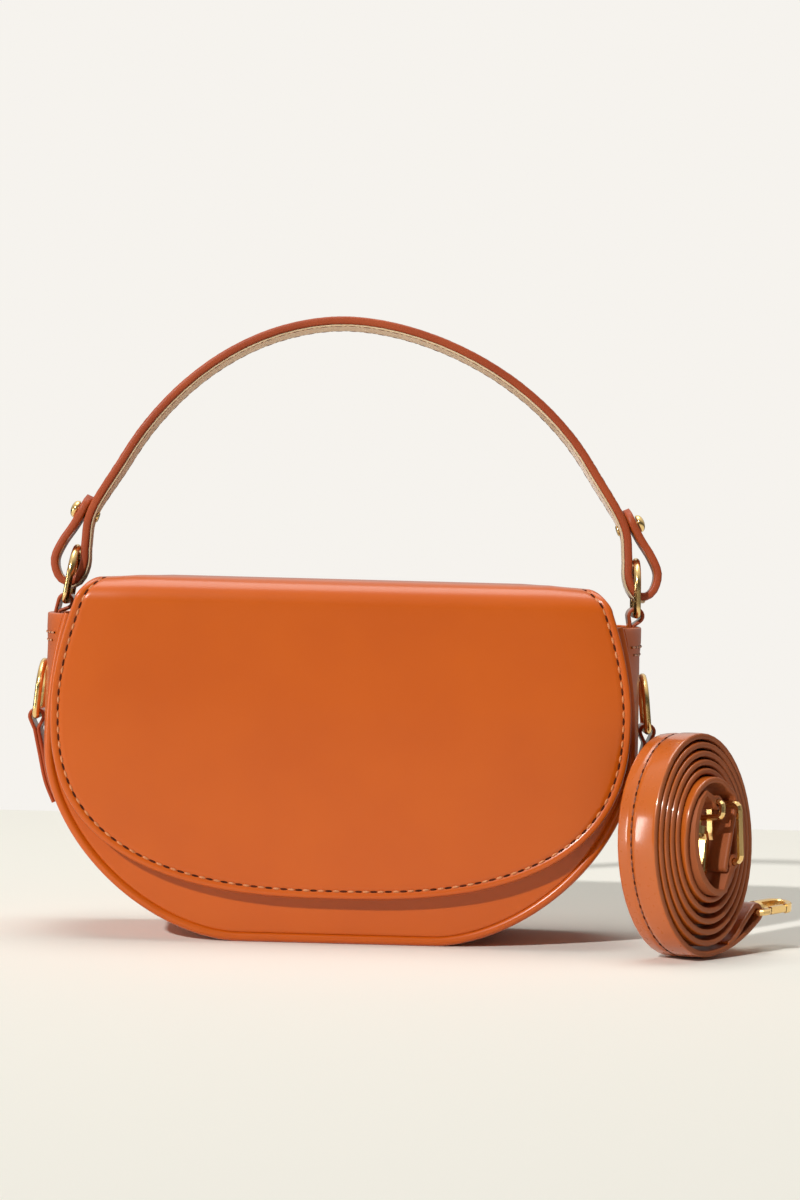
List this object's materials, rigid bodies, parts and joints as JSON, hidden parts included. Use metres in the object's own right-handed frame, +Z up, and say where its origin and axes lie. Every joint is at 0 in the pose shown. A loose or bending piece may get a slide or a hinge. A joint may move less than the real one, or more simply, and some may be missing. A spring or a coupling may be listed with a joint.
{
  "type": "handbag",
  "caption": "Half-moon leather flap handbag with an arched top handle on D-rings and a detachable shoulder strap wound in an upright coil beside it.",
  "frame": {"origin": "on the floor, under the middle of the bag's flat base", "axes": "+X to the bag's right as seen from the front, +Y to its back, +Z up"},
  "size_m": [0.3014, 0.1104, 0.2433],
  "materials": {
    "leather": "smooth, glossy, tan",
    "edge_leather": "smooth, painted edges, darker tan",
    "suede": "suede, cream",
    "cloth": "plain weave, beige",
    "board": "stiff fibre board, matt",
    "gold": "polished, pale gold plating"
  },
  "bodies": {
    "bag": {"front_panel": "leather", "back_panel": "leather", "gusset": "leather", "front_piping": "leather", "back_piping": "leather", "base_board": "board", "lining": "cloth", "slip_pocket": "cloth", "flap_root": "leather", "snap_socket": "gold", "left_handle_tab": "leather", "right_handle_tab": "leather", "left_side_tab": "leather", "right_side_tab": "leather"},
    "flap_over_top": {"flap_top": "leather", "flap_top_lining": "cloth"},
    "flap_over_front": {"flap_front": "leather", "flap_front_lining": "cloth", "snap_stud": "gold"},
    "handle": {"handle_strap": "edge_leather", "handle_lining": "suede", "left_rivet": "gold", "right_rivet": "gold"},
    "left_handle_d_ring": {"left_handle_ring": "gold"},
    "right_handle_d_ring": {"right_handle_ring": "gold"},
    "left_side_d_ring": {"left_side_ring": "gold"},
    "right_side_d_ring": {"right_side_ring": "gold"},
    "strap_coil": {"shoulder_strap": "edge_leather", "short_strap": "edge_leather", "buckle_frame": "gold", "outer_hook_eye": "gold", "inner_hook_eye": "gold"},
    "prong": {"buckle_prong": "gold"},
    "outer_hook": {"outer_hook_body": "gold"},
    "outer_gate": {"outer_hook_gate": "gold"},
    "inner_hook": {"inner_hook_body": "gold"},
    "inner_gate": {"inner_hook_gate": "gold"}
  },
  "joints": [
    {"name": "flap_lift", "type": "hinge", "parent": "bag", "child": "flap_over_top", "pos_m": [0, 0.026, 0.1386], "axis": [-1, 0, 0], "range_deg": [0, 42]},
    {"name": "flap_fold", "type": "hinge", "parent": "flap_over_top", "child": "flap_over_front", "pos_m": [0, -0.027, 0.1386], "axis": [-1, 0, 0], "range_deg": [0, 120]},
    {"name": "handle_tilt", "type": "hinge", "parent": "bag", "child": "handle", "pos_m": [0.004, 0, 0.1393], "axis": [-1, 0, 0], "range_deg": [-70, 66]},
    {"name": "left_handle_ring_swing", "type": "hinge", "parent": "bag", "child": "left_handle_d_ring", "pos_m": [-0.1094, 0, 0.1287], "axis": [0, -1, 0], "range_deg": [0, 8]},
    {"name": "right_handle_ring_swing", "type": "hinge", "parent": "bag", "child": "right_handle_d_ring", "pos_m": [0.1143, 0, 0.1287], "axis": [0, 1, 0], "range_deg": [0, 8]},
    {"name": "left_side_ring_swing", "type": "hinge", "parent": "bag", "child": "left_side_d_ring", "pos_m": [-0.1198, 0, 0.0834], "axis": [0, -1, 0], "range_deg": [0, 150]},
    {"name": "right_side_ring_swing", "type": "hinge", "parent": "bag", "child": "right_side_d_ring", "pos_m": [0.1198, 0, 0.0834], "axis": [0, 1, 0], "range_deg": [0, 150]},
    {"name": "coil_lift", "type": "slide", "parent": "bag", "child": "strap_coil", "axis": [0, 0, 1], "range_m": [0, 0.06]},
    {"name": "prong_turn", "type": "hinge", "parent": "strap_coil", "child": "prong", "pos_m": [0.14389, -0.04333, 0.0365], "axis": [0.7416, -0.6677, 0.0645], "range_deg": [0, 2.5]},
    {"name": "outer_hook_swivel", "type": "hinge", "parent": "strap_coil", "child": "outer_hook", "pos_m": [0.16293, -0.01546, 0.01558], "axis": [0.6925, 0.7205, 0.0371], "continuous": true},
    {"name": "outer_gate_press", "type": "hinge", "parent": "outer_hook", "child": "outer_gate", "pos_m": [0.16908, -0.01539, 0.01533], "axis": [0.041, -0.0906, 0.995], "range_deg": [0, 20], "stiffness_Nm_per_rad": 0.01},
    {"name": "inner_hook_swivel", "type": "hinge", "parent": "strap_coil", "child": "inner_hook", "pos_m": [0.13617, -0.0507, 0.04899], "axis": [-0.0515, -0.1526, -0.987], "continuous": true},
    {"name": "inner_gate_press", "type": "hinge", "parent": "inner_hook", "child": "inner_gate", "pos_m": [0.133, -0.05456, 0.04539], "axis": [0.7416, -0.6677, 0.0645], "range_deg": [0, 20], "stiffness_Nm_per_rad": 0.01}
  ]
}
